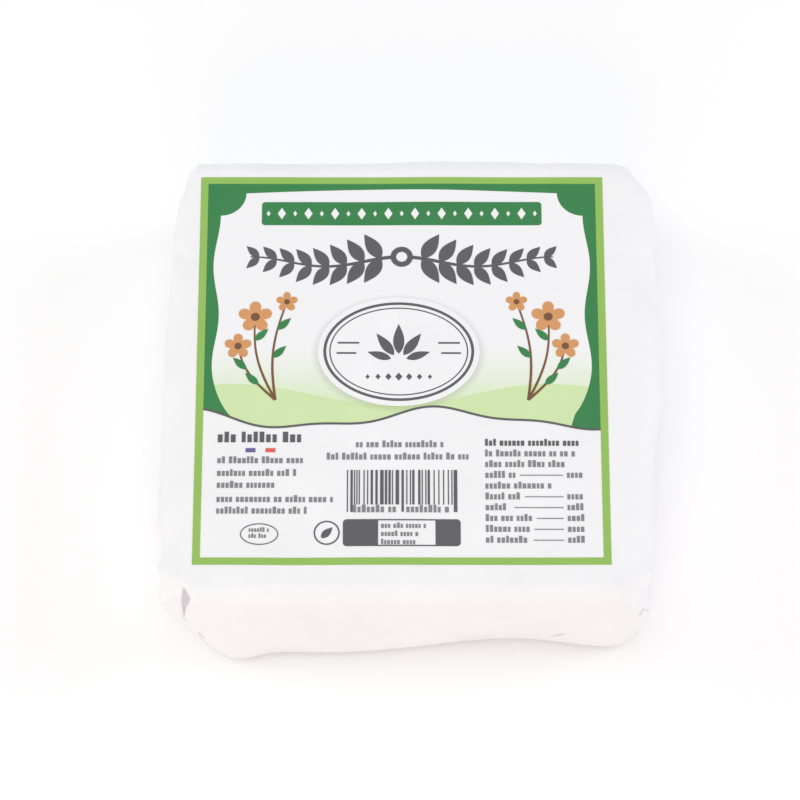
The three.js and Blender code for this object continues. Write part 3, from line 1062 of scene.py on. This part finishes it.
def print_barcode(inks):
    """Bars of random widths between longer guard bars, over a greeked row: it encodes nothing."""
    rng = random.Random(BARCODE_SEED)
    x0, y0, x1, y1 = BARCODE
    module = (x1 - x0) / BARCODE_MODULES
    x = 0
    while x < BARCODE_MODULES - 1:
        bar = rng.choice(BAR_WIDTHS)
        guard = any(start <= x < stop for start, stop in GUARDS)
        low = y0 - GUARD_DROP if guard else y0
        end = min(x + bar, BARCODE_MODULES)
        inks["dark"].field([rectangle(x0 + x * module, low, x0 + end * module, y1)])
        x += bar + rng.choice(BAR_WIDTHS)
    for start in CODE_ROW_STARTS:
        left, width = x0 + start * module, CODE_ROW_LENGTH * module
        text_row(inks["text"], rng, left, y0 - CODE_ROW_DROP, width, CODE_ROW_HEIGHT)


def print_marks(inks):
    """A blank oval, a ring with a leaf, and a dark box with a light cell."""
    rng = random.Random(TEXT_SEED + 2)
    inks["dark"].field(outlined(*OVAL, OVAL_RIM))
    inks["dark"].field(outlined(*RING, RING_RIM, 40))
    inks["dark"].field([leaf(*RING_LEAF)])
    inks["dark"].field([rectangle(*BOX, BOX_R), rectangle(*CELL)])
    for row in OVAL_ROWS + CELL_ROWS:
        text_row(inks["text"], rng, *row)


def print_label(surface):
    inks = {name: Ink(f"label_{name}", material, surface) for name, material in ink_materials().items()}
    for print_part in (print_frame, print_landscape, print_garland, print_banner, print_badge, print_sprigs,
                       print_text, print_table, print_barcode, print_marks):
        print_part(inks)
    for ink in inks.values():
        ink.make()


# Studio

def make_floor():
    material = bpy.data.materials.new("floor")
    material.use_nodes = True
    shader = material.node_tree.nodes["Principled BSDF"]
    shader.inputs["Base Color"].default_value = srgb(*FLOOR)
    shader.inputs["Roughness"].default_value = FLOOR_ROUGHNESS
    corners = [(x * FLOOR_HALF, y * FLOOR_HALF, 0.0) for x, y in ((-1, -1), (1, -1), (1, 1), (-1, 1))]
    new_object("floor", corners, [(0, 1, 2, 3)], material)


def make_light(name, position, size, power, colour):
    data = bpy.data.lights.new(name, "AREA")
    data.shape = "DISK"
    data.size = size
    data.energy = power
    data.color = colour
    light = bpy.data.objects.new(name, data)
    light.location = position
    light.rotation_euler = (Vector(AIM) - Vector(position)).to_track_quat("-Z", "Y").to_euler()
    bpy.context.scene.collection.objects.link(light)


def make_world():
    world = bpy.data.worlds.new("studio")
    world.use_nodes = True
    background = world.node_tree.nodes["Background"]
    background.inputs["Color"].default_value = (1, 1, 1, 1)
    background.inputs["Strength"].default_value = WORLD_STRENGTH
    bpy.context.scene.world = world


def make_camera():
    data = bpy.data.cameras.new("camera")
    data.lens = CAMERA_LENS
    data.sensor_width = SENSOR
    data.clip_start = 0.01
    camera = bpy.data.objects.new("camera", data)
    back = Vector((0, -cos(CAMERA_ELEVATION), sin(CAMERA_ELEVATION)))
    camera.location = Vector(CAMERA_LOOK) + back * CAMERA_DISTANCE
    camera.rotation_euler = (pi / 2 - CAMERA_ELEVATION, 0, 0)
    bpy.context.scene.collection.objects.link(camera)
    bpy.context.scene.camera = camera


# The wrapped cheese in its studio

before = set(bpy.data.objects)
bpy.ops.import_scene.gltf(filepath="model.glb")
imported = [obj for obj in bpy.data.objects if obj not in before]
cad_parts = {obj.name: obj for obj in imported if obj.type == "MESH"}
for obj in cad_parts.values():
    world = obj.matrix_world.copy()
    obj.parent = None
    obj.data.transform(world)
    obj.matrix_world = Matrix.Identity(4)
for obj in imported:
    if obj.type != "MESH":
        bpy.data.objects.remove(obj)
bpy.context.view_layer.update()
shift = recentring()

paper = paper_material("wrapper_paper", PAPER, PAPER_ROUGHNESS)
wrapper = make_wrapper(shift, paper)
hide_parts(NODE)
# A sheet of painted shade in the pocket's opening
pocket = make_pocket_painted_shade(shift, paper_material("pocket_shade", POCKET_SHADE, POCKET_ROUGHNESS))
# Slivers of painted shade in the sharpest creases
shades = make_crease_shades(shift, paper_material("crease_shade", CREASE_SHADE, POCKET_ROUGHNESS))
flaps = make_end_flaps(-1, shift, paper) + make_end_flaps(1, shift, paper)
for piece in (wrapper, pocket, shades, *flaps, make_underside_lap(shift, paper)):
    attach(piece, BODY)
print_label(BVHTree.FromObject(wrapper, bpy.context.evaluated_depsgraph_get()))

make_floor()
make_world()
for light_name, settings in LIGHTS.items():
    make_light(light_name, *settings)
make_camera()
bpy.context.scene.view_settings.view_transform = "Standard"
bpy.context.scene.view_settings.look = "None"
